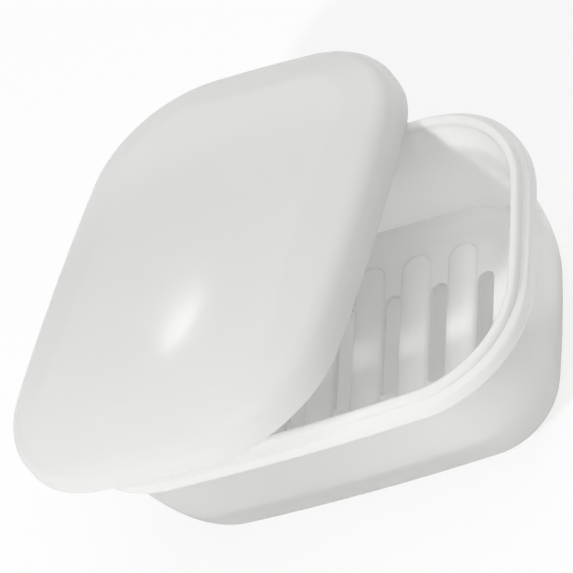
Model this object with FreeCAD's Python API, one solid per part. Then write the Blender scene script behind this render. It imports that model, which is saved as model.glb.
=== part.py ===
import FreeCAD, Part
import math
import os
from FreeCAD import Vector

# Covered soap dish: a bowl-shaped dish, a loose ribbed drain tray inside it and a cushion-shaped lid
# that lies crosswise on the rim. Millimetres, +Z up, the origin at the middle of the dish's foot.

# Plan of the dish's lip: a rounded rectangle whose four sides bow outwards a little.
lip_length = 104.1
lip_width = 71.4
lip_corner_radius = 23.4
end_bow_radius = 300.0
side_bow_radius = 600.0

# Dish. Depths are measured down from the top of the lip.
dish_height = 39.2
lip_thickness = 2.3
lip_upright = 0.35
band_stand_out = 1.5
band_top_depth = 2.5
band_bottom_depth = 5.2
band_top_round = 0.9
band_bottom_round = 1.3
neck_upright = 0.5
neck_round = 0.5
body_top_depth = 10.1
body_inset = 3.05
body_round = 11.05
wall = 1.8
lip_inside_depth = 1.9
lip_inside_round = 3.0
neck_inside_depth = 8.0
neck_inside_round = 10.0
floor_thickness = 2.2
seat_width = 1.7

# Drain tray: a plate with a flat ledge round its edge, then a slope down to a sunk field.
ledge_depth = 23.6
tray_thickness = 1.2
tray_side_clearance = 0.2
tray_end_play = 1.5
tray_edge_round = 0.5
tray_foot_round = 0.2
ledge_width = 3.0
ledge_drop = 1.5
slope_run = 3.8
slope_round = 2.7

# Slots and rounded bars across the field, by turns. Margins are measured from the tray's edge.
slot_count = 7
slot_width = 3.9
slot_side_margin = 16.45
outer_slot_margin = 11.35
bar_side_margin = 7.85
bar_slot_gap = 0.05
bar_height = 1.7
bar_foot_depth = 0.3
bar_shoulder_round = 1.3

# Lid.
lid_wall = 1.5
lid_band_clearance = 0.28
skirt_height = 2.9
skirt_edge_round = 0.6
shoulder_radius = 5.0
border_slope = 14.0
border_inset = 12.5
crown_rise = 0.9
crease_round = 8.0

# How the lid lies on the dish: turned, leaning, and off the middle of the dish.
lid_turn = 83.1
lid_lean_along = 9.3
lid_lean_across = -3.3
lid_shift_left = 15.6
lid_shift_back = 7.4
contact_gap = 0.01

up = Vector(0, 0, 1)


def outline_arcs(half_length, half_width, corner_radius, end_radius, side_radius, growth):
    """Eight tangent arcs, counter-clockwise, as (centre, radius, start and end angle in degrees).

    Growth moves the whole outline outwards by the same distance everywhere.
    """
    end_x = half_length - end_radius
    side_y = half_width - side_radius
    span = math.hypot(end_x, side_y)
    from_end = end_radius - corner_radius
    from_side = side_radius - corner_radius
    along = (from_end**2 - from_side**2 + span**2) / (2 * span)
    across = math.sqrt(from_end**2 - along**2)
    unit_x = -end_x / span
    unit_y = side_y / span
    corner_x = end_x + along * unit_x - across * unit_y
    corner_y = along * unit_y + across * unit_x
    end_angle = math.degrees(math.atan2(corner_y, corner_x - end_x))
    side_angle = math.degrees(math.atan2(corner_y - side_y, corner_x))
    arcs = []
    for turn in (0, 180):
        flip = 1 if turn == 0 else -1
        right_end = Vector(flip * end_x, 0, 0)
        far_side = Vector(0, flip * side_y, 0)
        corner_one = Vector(flip * corner_x, flip * corner_y, 0)
        corner_two = Vector(-flip * corner_x, flip * corner_y, 0)
        arcs.append((right_end, end_radius + growth, turn - end_angle, turn + end_angle))
        arcs.append((corner_one, corner_radius + growth, turn + end_angle, turn + side_angle))
        arcs.append((far_side, side_radius + growth, turn + side_angle, turn + 180 - side_angle))
        arcs.append((corner_two, corner_radius + growth, turn + 180 - side_angle, turn + 180 - end_angle))
    return arcs


def on_circle(centre, radius, angle, height):
    turned = math.radians(angle)
    return Vector(centre.x + radius * math.cos(turned), centre.y + radius * math.sin(turned), height)


def outline_face(plan, growth, height):
    """Flat face bounded by the outline."""
    edges = []
    for centre, radius, first, last in outline_arcs(*plan, growth):
        angles = (first, (first + last) / 2, last)
        edges.append(Part.Arc(*[on_circle(centre, radius, angle, height) for angle in angles]).toShape())
    return Part.Face(Part.Wire(edges))


def swept_solid(plan, profile):
    """Closed solid: the profile runs round the outline, and its two ends are closed by flat faces.

    The profile is a wire in the XZ plane; its X is the outward growth of the outline.
    """
    faces = []
    for centre, radius, first, last in outline_arcs(*plan, 0):
        start = profile.copy()
        start.translate(Vector(radius, 0, 0))
        start.rotate(Vector(0, 0, 0), up, first)
        start.translate(centre)
        faces += start.revolve(centre, up, last - first).Faces
    for end in (profile.OrderedVertexes[0].Point, profile.OrderedVertexes[-1].Point):
        faces.append(outline_face(plan, end.x, end.z))
    skin = Part.Compound(faces)
    skin.sewShape(1e-4)
    solid = Part.Solid(skin.Shells[0])
    if solid.Volume < 0:
        solid.reverse()
    return solid


def at(growth, height):
    """Point of a profile."""
    return Vector(growth, 0, height)


def line(first, last):
    return Part.LineSegment(first, last).toShape()


def arc_through(first, middle, last):
    return Part.Arc(first, middle, last).toShape()


def leaning(centre, radius, lean):
    """Point of a profile's circle, at an angle in radians from its top."""
    return centre + at(math.sin(lean), math.cos(lean)) * radius


def ellipse_arc(centre, down, out, first, last):
    """Part of an upright ellipse, from angle first to last in degrees, 0 at its foot and 90 at its side."""
    if down >= out:
        full = Part.Ellipse(centre + at(0, -down), centre + at(out, 0), centre)
        return Part.ArcOfEllipse(full, math.radians(first), math.radians(last)).toShape()
    full = Part.Ellipse(centre + at(out, 0), centre + at(0, down), centre)
    return Part.ArcOfEllipse(full, math.radians(first - 90), math.radians(last - 90)).toShape()


def rounded_path(points, radii):
    """Edges of a bent line whose inner corners are rounded with the given radii."""
    edges = []
    here = points[0]
    for before, corner, after, radius in zip(points, points[1:], points[2:], radii):
        back = (before - corner).normalize()
        ahead = (after - corner).normalize()
        half_angle = back.getAngle(ahead) / 2
        trim = radius / math.tan(half_angle)
        to_centre = (back + ahead).normalize()
        first = corner + back * trim
        last = corner + ahead * trim
        middle = corner + to_centre * (radius / math.sin(half_angle) - radius)
        edges.append(line(here, first))
        edges.append(arc_through(first, middle, last))
        here = last
    edges.append(line(here, points[-1]))
    return edges


lip_plan = (lip_length / 2, lip_width / 2, lip_corner_radius, end_bow_radius, side_bow_radius)
body_top = dish_height - body_top_depth
body_centre = at(-body_inset - body_round, body_top)
cavity_round = body_round - wall
cavity_depth = body_top - floor_thickness


def cavity_growth(height):
    """Outline growth of the bowl's inside at a height below the body's top."""
    fall = (body_top - height) / cavity_depth
    return body_centre.x + cavity_round * math.sqrt(1 - fall**2)


ledge_top = dish_height - ledge_depth
seat_height = ledge_top - tray_thickness
seat_outer = cavity_growth(seat_height)
seat_inner = seat_outer - seat_width


def dish():
    """Bowl with a full-round lip, a band that stands out below it, a hollow neck and a rounded body.

    Outside from foot to lip, then the inside down to the floor, with a step on which the tray rests.
    """
    body = ellipse_arc(body_centre, body_top, body_round, 0, 90)
    lip_round = lip_thickness / 2
    lip_side = dish_height - lip_round
    band_outline = [
        at(-body_inset, body_top),
        at(-body_inset, body_top + neck_upright),
        at(band_stand_out, dish_height - band_bottom_depth),
        at(band_stand_out, dish_height - band_top_depth),
        at(0, lip_side - lip_upright),
        at(0, lip_side),
    ]
    band = rounded_path(band_outline, [neck_round, band_bottom_round, band_top_round, lip_upright / 2])
    lip = arc_through(at(0, lip_side), at(-lip_round, dish_height), at(-lip_thickness, lip_side))
    neck_outline = [
        at(-lip_thickness, lip_side),
        at(-lip_thickness, dish_height - lip_inside_depth),
        at(-body_inset - wall, dish_height - neck_inside_depth),
        at(-body_inset - wall, body_top),
    ]
    neck_inside = rounded_path(neck_outline, [lip_inside_round, neck_inside_round])
    seat_angle = math.degrees(math.acos((body_top - seat_height) / cavity_depth))
    bowl_inside = ellipse_arc(body_centre, cavity_depth, cavity_round, seat_angle, 90)
    step_angle = math.degrees(math.asin((seat_inner - body_centre.x) / cavity_round))
    step_foot = body_top - cavity_depth * math.cos(math.radians(step_angle))
    seat = line(at(seat_outer, seat_height), at(seat_inner, seat_height))
    step = line(at(seat_inner, seat_height), at(seat_inner, step_foot))
    sump = ellipse_arc(body_centre, cavity_depth, cavity_round, 0, step_angle)
    edges = [body] + band + [lip] + neck_inside + [bowl_inside, seat, step, sump]
    return swept_solid(lip_plan, Part.Wire(edges))


tray_half_length = lip_length / 2 + seat_outer - tray_side_clearance - tray_end_play
tray_half_width = lip_width / 2 + seat_outer - tray_side_clearance
tray_corner_radius = lip_corner_radius + seat_outer - tray_side_clearance
tray_plan = (tray_half_length, tray_half_width, tray_corner_radius, end_bow_radius, side_bow_radius)
field_top = ledge_top - ledge_drop
slot_pitch = 2 * (tray_half_length - outer_slot_margin) / (slot_count - 1)


def bar_half_section(sunk):
    """One half of the bar's section, from its middle to its side, down to the height sunk.

    A wide crown arc runs into a tight shoulder arc, whose upright foot lies just under the field.
    """
    half = (slot_pitch - slot_width) / 2 - bar_slot_gap
    foot = field_top - bar_foot_depth
    run = half - bar_shoulder_round
    rise = bar_foot_depth + bar_height - bar_shoulder_round
    drop = (run**2 - rise**2) / (2 * rise)
    crown_centre = at(0, foot - drop)
    crown_radius = drop + bar_foot_depth + bar_height
    turn = math.atan2(run, drop)
    joint = leaning(crown_centre, crown_radius, turn)
    shoulder = leaning(at(run, foot), bar_shoulder_round, (turn + math.pi / 2) / 2)
    top = at(0, field_top + bar_height)
    corners = [at(half, foot), at(half, sunk), at(0, sunk), top]
    edges = [line(first, last) for first, last in zip(corners, corners[1:])]
    edges.append(arc_through(top, leaning(crown_centre, crown_radius, turn / 2), joint))
    edges.append(arc_through(joint, shoulder, at(half, foot)))
    return Part.Face(Part.Wire(edges))


def side_bow(x):
    """How far the tray's bowed side has come in at a distance x from its middle."""
    return x**2 / (2 * side_bow_radius)


def bar(x):
    """Rounded drain bar across the tray, with domed ends that follow the tray's bowed sides."""
    half_section = bar_half_section(field_top - tray_thickness / 2)
    half = half_section.BoundBox.XMax
    reach = tray_half_width - bar_side_margin - half - side_bow(x)
    flank = half_section.extrude(Vector(0, 2 * reach, 0))
    flank.translate(Vector(0, -reach, 0))
    shape = flank.fuse(flank.mirror(Vector(0, 0, 0), Vector(1, 0, 0)))
    for side in (-1, 1):
        dome = half_section.revolve(Vector(0, 0, 0), up, side * 180)
        dome.translate(Vector(0, side * reach, 0))
        shape = shape.fuse(dome)
    shape = shape.removeSplitter()
    shape.translate(Vector(x, 0, 0))
    return shape


def slot(x):
    """Cutter for one drain slot: long, narrow and round-ended."""
    half = slot_width / 2
    reach = tray_half_width - slot_side_margin - half - side_bow(x)
    base = field_top - 2 * tray_thickness
    height = 3 * tray_thickness + bar_height
    block = Part.makeBox(slot_width, 2 * reach, height, Vector(x - half, -reach, base))
    for side in (-1, 1):
        block = block.fuse(Part.makeCylinder(half, height, Vector(x, side * reach, base)))
    return block


def drain_tray():
    """Thin dished plate: a flat ledge, a soft slope and a sunk field with bars and slots by turns."""
    slope_foot = -ledge_width - slope_run
    field_edge = slope_foot - slope_round
    top = [at(field_edge, field_top), at(slope_foot, field_top), at(-ledge_width, ledge_top)]
    under = [at(point.x, point.z - tray_thickness) for point in reversed(top)]
    edge = [at(0, ledge_top), at(0, seat_height)]
    rounds = [slope_round, slope_round, tray_edge_round, tray_foot_round, slope_round, slope_round]
    tray = swept_solid(tray_plan, Part.Wire(rounded_path(top + edge + under, rounds)))
    middle = (slot_count - 1) / 2
    for number in range(slot_count - 1):
        tray = tray.fuse(bar((number + 0.5 - middle) * slot_pitch))
    for number in range(slot_count):
        tray = tray.cut(slot((number - middle) * slot_pitch))
    tray = tray.removeSplitter()
    tray.translate(Vector(-tray_end_play, 0, 0))
    return tray


def crown(apex, half_length, half_width):
    """Block with a barrel-shaped top that falls by crown_rise at half_length and at half_width."""
    long_radius = half_length**2 / (2 * crown_rise)
    cross_radius = half_width**2 / (2 * crown_rise)
    reach = lip_length
    end_height = apex - reach**2 / (2 * long_radius)
    axis = at(0, apex - cross_radius)
    bottom = apex - cross_radius / 2
    corners = [at(reach, end_height), at(reach, bottom), at(-reach, bottom), at(-reach, end_height)]
    edges = [line(first, last) for first, last in zip(corners, corners[1:])]
    edges.append(arc_through(corners[-1], at(0, apex), corners[0]))
    barrel = Part.Face(Part.Wire(edges))
    spread = math.degrees(math.asin(min(lip_width / cross_radius, 1)))
    barrel.rotate(axis, Vector(1, 0, 0), -spread)
    return barrel.revolve(axis, Vector(1, 0, 0), 2 * spread)


def cushion(shrink):
    """Solid cushion with the lid's outer form, moved inwards everywhere by shrink.

    An upright skirt turns over a round shoulder into a gently sloped border, which meets the crown.
    """
    outer = band_stand_out + lid_band_clearance + lid_wall
    slope = math.radians(border_slope)
    steepness = math.tan(slope)
    halfway = (slope + math.pi / 2) / 2
    centre = at(outer - shoulder_radius, skirt_height)
    radius = shoulder_radius - shrink
    shoulder_foot = centre + at(radius, 0)
    shoulder_middle = leaning(centre, radius, halfway)
    shoulder_end = leaning(centre, radius, slope)
    to_crease = outer - border_inset - shoulder_end.x
    crease = shoulder_end + at(to_crease, -to_crease * steepness)
    past_crease = 2 * crown_rise / steepness
    border_end = crease + at(-past_crease, past_crease * steepness)
    if shrink:
        edges = [line(at(shoulder_foot.x, -lid_wall), shoulder_foot)]
    else:
        foot = [at(outer - 2 * skirt_edge_round, 0), at(outer, 0), shoulder_foot]
        edges = rounded_path(foot, [skirt_edge_round])
    edges.append(arc_through(shoulder_foot, shoulder_middle, shoulder_end))
    edges.append(line(shoulder_end, border_end))
    block = swept_solid(lip_plan, Part.Wire(edges))
    top = crown(crease.z + crown_rise, lip_length / 2 + crease.x, lip_width / 2 + crease.x)
    body = block.common(top)
    if shrink:
        return body
    creases = [edge for edge in body.Edges if edge.BoundBox.ZMin > crease.z - crown_rise]
    return body.makeFillet(crease_round, creases)


def lid():
    """Hollow lid: the cushion less a smaller cushion."""
    return cushion(0).cut(cushion(lid_wall))


def laid_on(cover, rim):
    """Turn, lean and shift the lid, then let it down until it touches the rim."""
    start_height = dish_height + lip_length / 4
    cover.rotate(Vector(0, 0, 0), Vector(1, 0, 0), lid_lean_across)
    cover.rotate(Vector(0, 0, 0), Vector(0, 1, 0), lid_lean_along)
    cover.rotate(Vector(0, 0, 0), up, lid_turn)
    cover.translate(Vector(-lid_shift_left, lid_shift_back, start_height))
    gap = cover.distToShape(rim)[0]
    while gap > contact_gap:
        cover.translate(Vector(0, 0, contact_gap / 2 - gap))
        gap = cover.distToShape(rim)[0]
    return cover


os.makedirs("parts", exist_ok=True)
base = dish()
tray = drain_tray()
cover = laid_on(lid(), base)
for name, shape in (("dish_base", base), ("drain_tray", tray), ("lid", cover)):
    shape.exportStep("parts/" + name + ".step")
    box = shape.BoundBox
    print(name, "valid", shape.isValid(), "solids", len(shape.Solids), "faces", len(shape.Faces))
    print("  volume", round(shape.Volume), "x", round(box.XMin, 1), round(box.XMax, 1))
    print("  y", round(box.YMin, 1), round(box.YMax, 1), "z", round(box.ZMin, 2), round(box.ZMax, 2))
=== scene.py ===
# %% [markdown]
# # A white covered soap dish, dressed and lit
# The dish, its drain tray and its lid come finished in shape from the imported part, because each
# is one smooth moulding and its form is all there is to it. What is left for this lesson is what
# the eye reads as plastic: the white, the gloss, the small unevenness of a moulded surface and
# the light that shows them. Each step below names the real thing first, then how it is made.

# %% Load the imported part
import math
import bpy
from mathutils import Matrix, Vector

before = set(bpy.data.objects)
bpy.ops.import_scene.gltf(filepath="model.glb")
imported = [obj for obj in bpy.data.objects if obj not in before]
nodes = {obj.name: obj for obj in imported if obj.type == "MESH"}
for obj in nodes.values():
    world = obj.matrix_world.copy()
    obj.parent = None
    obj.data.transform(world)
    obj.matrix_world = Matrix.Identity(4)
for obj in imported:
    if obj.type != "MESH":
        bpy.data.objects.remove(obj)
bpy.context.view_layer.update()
millimetre = 0.001


print("pieces:", sorted(nodes))

# %% [markdown]
# ## Colour and node helpers
# Plastics and paints are matched by eye on a screen, so their colours are kept as sRGB hex.
# Blender mixes light in linear values, so one function turns hex to linear. A second function
# adds any shader node with its settings and its links, which keeps the materials readable. An
# input is named as in Blender, with _ for a space, or by its number as i0, i1 and so on.

# %% Helpers
plastic_white = "#FDFDFC"
board_white = "#E7E7E7"
pure_white = "#FFFFFF"


def linear(hex_colour):
    """Linear red, green, blue and alpha of an sRGB hex colour."""
    parts = [int(hex_colour[i:i + 2], 16) / 255 for i in (1, 3, 5)]
    return [p / 12.92 if p <= 0.04045 else ((p + 0.055) / 1.055) ** 2.4 for p in parts] + [1.0]


def add(tree, kind, settings=None, **inputs):
    """Adds a node. Settings are its properties; inputs are values, or sockets to link from."""
    node = tree.nodes.new(kind)
    for key, value in (settings or {}).items():
        setattr(node, key, value)
    for key, value in inputs.items():
        numbered = key[1:].isdigit()
        socket = node.inputs[int(key[1:]) if numbered else key.replace("_", " ")]
        if isinstance(value, bpy.types.NodeSocket):
            tree.links.new(value, socket)
        else:
            socket.default_value = value
    return node


def new_material(name):
    """A new material whose node tree is still empty, and that tree."""
    material = bpy.data.materials.new(name)
    material.use_nodes = True
    material.node_tree.nodes.clear()
    return material, material.node_tree


print("linear value of the plastic's white:", [round(c, 3) for c in linear(plastic_white)[:3]])

# %% [markdown]
# ## Moulded polypropylene
# The real pieces are injection-moulded polypropylene, a slightly waxy white plastic with an
# index of refraction near 1.49. A polished mould gives it a clear gloss. Up close the surface is
# never perfect: it waves a little where the wall shrank as it cooled, over some ten millimetres,
# and it has a fine tool texture of about a third of a millimetre. Handling leaves the gloss a
# touch uneven. The plastic is milky: a wall of one or two millimetres lets much of the light pass
# through to its other side, so the inside of the dish glows a little and no shadow is black. That
# share is mixed in as a translucent shader. The dish's thicker rim lets less of it through.

# %% The plastic's material
refraction = 1.49
film_size = 18 * millimetre
gloss_below, gloss_above = 0.02, 0.03
tone_size = 35 * millimetre
tone_drop = 0.975
wave_size = 11 * millimetre
grain_size = 0.35 * millimetre
grain_depth = 0.0008 * millimetre
rim_change = 3 * millimetre
rim_through = 0.2


def moulded_plastic(name, roughness, wave_depth, through, thick_above=None):
    """Milky gloss plastic. wave_depth is the height of the cooling waves in metres.

    through is the share of light that a thin wall lets pass. Above the height thick_above, in
    metres, the wall is thick and lets only rim_through pass.
    """
    material, tree = new_material(name)
    place = add(tree, "ShaderNodeTexCoord").outputs["Object"]
    film = add(tree, "ShaderNodeTexNoise", Vector=place, Scale=1 / film_size, Detail=3.0,
               Roughness=0.55)
    gloss = add(tree, "ShaderNodeMapRange", Value=film.outputs["Fac"],
                From_Min=0.3, From_Max=0.7,
                To_Min=roughness - gloss_below, To_Max=roughness + gloss_above)
    tone = add(tree, "ShaderNodeTexNoise", Vector=place, Scale=1 / tone_size, Detail=2.0)
    paler = linear(plastic_white)
    darker = [tone_drop * value for value in paler[:3]] + [1.0]
    white = add(tree, "ShaderNodeMix", {"data_type": "RGBA"}, i0=tone.outputs["Fac"],
                i6=darker, i7=paler)
    wave = add(tree, "ShaderNodeTexNoise", Vector=place, Scale=1 / wave_size, Detail=1.0)
    grain = add(tree, "ShaderNodeTexNoise", Vector=place, Scale=1 / grain_size, Detail=1.0)
    waves = add(tree, "ShaderNodeBump", Height=wave.outputs["Fac"], Distance=wave_depth,
                Strength=1.0)
    bump = add(tree, "ShaderNodeBump", Height=grain.outputs["Fac"], Distance=grain_depth,
               Strength=1.0, Normal=waves.outputs["Normal"])
    shader = add(tree, "ShaderNodeBsdfPrincipled", Base_Color=white.outputs[2],
                 Roughness=gloss.outputs[0], IOR=refraction, Normal=bump.outputs["Normal"])
    passed = add(tree, "ShaderNodeBsdfTranslucent", Color=white.outputs[2])
    milky = add(tree, "ShaderNodeMixShader", i0=through, i1=shader.outputs[0],
                i2=passed.outputs[0])
    if thick_above is not None:
        height = add(tree, "ShaderNodeSeparateXYZ", Vector=place).outputs["Z"]
        share = add(tree, "ShaderNodeMapRange", {"interpolation_type": "SMOOTHSTEP"},
                    Value=height, From_Min=thick_above - rim_change, From_Max=thick_above,
                    To_Min=through, To_Max=rim_through)
        tree.links.new(share.outputs[0], milky.inputs[0])
    add(tree, "ShaderNodeOutputMaterial", Surface=milky.outputs[0])
    return material


print("cooling waves every", round(wave_size / millimetre), "mm, grain every",
      round(grain_size / millimetre, 2), "mm")

# %% [markdown]
# ## A finish for each piece
# The three pieces come from three moulds, so each has its own gloss and waviness. The lid has
# the clearest gloss. The dish's body passes the most light, up to its rim, which starts at a
# height of 34 mm. The tray passes the least, so it stays bright over the shaded sump.

# %% Dress the pieces
finishes = {
    "dish_base": moulded_plastic("dish polypropylene", roughness=0.12,
                                 wave_depth=0.012 * millimetre, through=0.7,
                                 thick_above=34 * millimetre),
    "drain_tray": moulded_plastic("tray polypropylene", roughness=0.16,
                                  wave_depth=0.01 * millimetre, through=0.12),
    "lid": moulded_plastic("lid polypropylene", roughness=0.1,
                           wave_depth=0.016 * millimetre, through=0.45),
}
for name, material in finishes.items():
    mesh = nodes[name].data
    mesh.materials.clear()
    mesh.materials.append(material)
    print(name, "has", len(mesh.polygons), "faces and wears", material.name)

# %% [markdown]
# ## Floor
# A product photographer stands a white object on a milky table that is lit softly from below.
# A large plane does the same here: a matt pale board that also gives off a little light, which
# reaches the dish's underside, its sump and the lid's hollow. Most of what the camera sees of it
# is plain white, and the rest still shows the soft shadow that holds the dish down.

# %% The floor
floor_size = 6.0
table_glow = 0.2
plain_share = 0.7

bpy.ops.mesh.primitive_plane_add(size=floor_size, location=(0, 0, 0))
floor = bpy.context.object
floor.name = "floor"
board, tree = new_material("white board")
matt = add(tree, "ShaderNodeBsdfDiffuse", Color=linear(board_white))
lit = add(tree, "ShaderNodeEmission", Color=linear(pure_white), Strength=table_glow)
table = add(tree, "ShaderNodeAddShader", i0=matt.outputs[0], i1=lit.outputs[0])
plain = add(tree, "ShaderNodeEmission", Color=linear(pure_white), Strength=1.0)
rays = add(tree, "ShaderNodeLightPath")
camera_share = add(tree, "ShaderNodeMath", {"operation": "MULTIPLY"},
                   i0=rays.outputs["Is Camera Ray"], i1=plain_share)
seen = add(tree, "ShaderNodeMixShader", i0=camera_share.outputs[0], i1=table.outputs[0],
           i2=plain.outputs[0])
add(tree, "ShaderNodeOutputMaterial", Surface=seen.outputs[0])
floor.data.materials.append(board)
print("floor is", [round(value, 2) for value in floor.dimensions[:2]], "m")

# %% [markdown]
# ## The room
# Gloss needs something to mirror. So the room is dim and even, with a few broad pale reflectors,
# as a photographer sets them around a white object: the brightest on the far side and overhead
# to the right, the others low at the far left and on the near side. The camera itself sees plain
# white paper behind the dish.

# %% The room and its reflectors
room_level = 0.11
reflectors = [          # azimuth, elevation, spread (degrees), level
    (-170, 45, 50, 0.3),
    (10, 45, 50, 0.9),
    (-30, 12, 40, 0.6),
    (120, 70, 45, 1.0),
]

world = bpy.data.worlds.new("room")
bpy.context.scene.world = world
world.use_nodes = True
sky_tree = world.node_tree
sky_tree.nodes.clear()
way = add(sky_tree, "ShaderNodeTexCoord").outputs["Generated"]


def direction(azimuth, elevation):
    """Unit vector. Azimuth is measured from the far side (+Y) towards the right (+X)."""
    turn, rise = math.radians(azimuth), math.radians(elevation)
    level_part = math.cos(rise)
    return Vector((math.sin(turn) * level_part, math.cos(turn) * level_part, math.sin(rise)))


def reflector(azimuth, elevation, spread, level, so_far):
    """Adds a soft round patch, spread degrees from its middle to its edge, to the room so far."""
    facing = add(sky_tree, "ShaderNodeVectorMath", {"operation": "DOT_PRODUCT"}, i0=way,
                 i1=direction(azimuth, elevation))
    patch = add(sky_tree, "ShaderNodeMapRange", {"interpolation_type": "SMOOTHSTEP"},
                Value=facing.outputs["Value"], From_Min=math.cos(math.radians(spread)),
                From_Max=1.0, To_Min=0.0, To_Max=level)
    both = add(sky_tree, "ShaderNodeMath", {"operation": "ADD"}, i0=so_far, i1=patch.outputs[0])
    return both.outputs[0]


light_so_far = room_level
for azimuth, elevation, spread, level in reflectors:
    light_so_far = reflector(azimuth, elevation, spread, level, light_so_far)
rays = add(sky_tree, "ShaderNodeLightPath")
room = add(sky_tree, "ShaderNodeBackground", Color=linear(pure_white), Strength=light_so_far)
paper = add(sky_tree, "ShaderNodeBackground", Color=linear(pure_white), Strength=1.0)
sky = add(sky_tree, "ShaderNodeMixShader", i0=rays.outputs["Is Camera Ray"],
          i1=room.outputs[0], i2=paper.outputs[0])
add(sky_tree, "ShaderNodeOutputWorld", Surface=sky.outputs[0])
print("the room has", len(reflectors), "reflectors")

# %% [markdown]
# ## The lamps
# In the photograph the left of every piece is lighter than its right, a clear patch of light lies
# in the far corner of the dish's inside wall, and a soft glint lies on the lid where a window
# behind and to the left would mirror in the gloss. A key lamp at the near left makes the patch.
# The gloss shows no image of it, as in the photograph. The window makes the glint. Each is an
# area light that is aimed at the dish by turning its own axis onto the line to it.

# %% The lamps
aim = Vector((0, 0, 30 * millimetre))


def soft_box(name, azimuth, elevation, distance, width, height, watts):
    """Area lamp aimed at the dish. Its distance and sides are in metres."""
    towards = direction(azimuth, elevation)
    lamp = bpy.data.lights.new(name, "AREA")
    lamp.shape = "RECTANGLE"
    lamp.size = width
    lamp.size_y = height
    lamp.energy = watts
    lamp_object = bpy.data.objects.new(name, lamp)
    bpy.context.scene.collection.objects.link(lamp_object)
    lamp_object.location = aim + distance * towards
    lamp_object.rotation_euler = towards.to_track_quat("Z", "Y").to_euler()
    print(name, "at", [round(value, 2) for value in lamp_object.location])
    return lamp_object


key = soft_box("key", azimuth=-157, elevation=35, distance=1.5, width=0.12, height=0.12,
               watts=10.0)
key.visible_glossy = False
soft_box("window", azimuth=-34, elevation=28, distance=1.6, width=0.06, height=0.04, watts=0.085)

# %% [markdown]
# ## Camera
# The photograph looks down on the long side from the right, from far off, so its lines stay
# nearly parallel. The camera's place was worked out beside the CAD model; the picture was also
# turned, so the camera is rolled: the dish's upright leans to the upper left of the frame.

# %% The camera
camera_place = Vector((0.39826, -0.53883, 0.66928))
picture_right = Vector((0.8634, 0.0524, -0.5019))
picture_up = Vector((0.2587, 0.8080, 0.5294))

camera = bpy.data.cameras.new("camera")
camera_object = bpy.data.objects.new("camera", camera)
bpy.context.scene.collection.objects.link(camera_object)
backwards = picture_right.cross(picture_up).normalized()
axes = Matrix((picture_right, picture_up, backwards)).transposed().to_4x4()
camera_object.matrix_world = Matrix.Translation(camera_place) @ axes
camera.sensor_width = 36.0
camera.lens = 286.7
camera.clip_start = 0.01
bpy.context.scene.camera = camera_object
bpy.context.scene.view_settings.view_transform = "Standard"
print("camera is", round(camera_place.length, 3), "m from the origin")
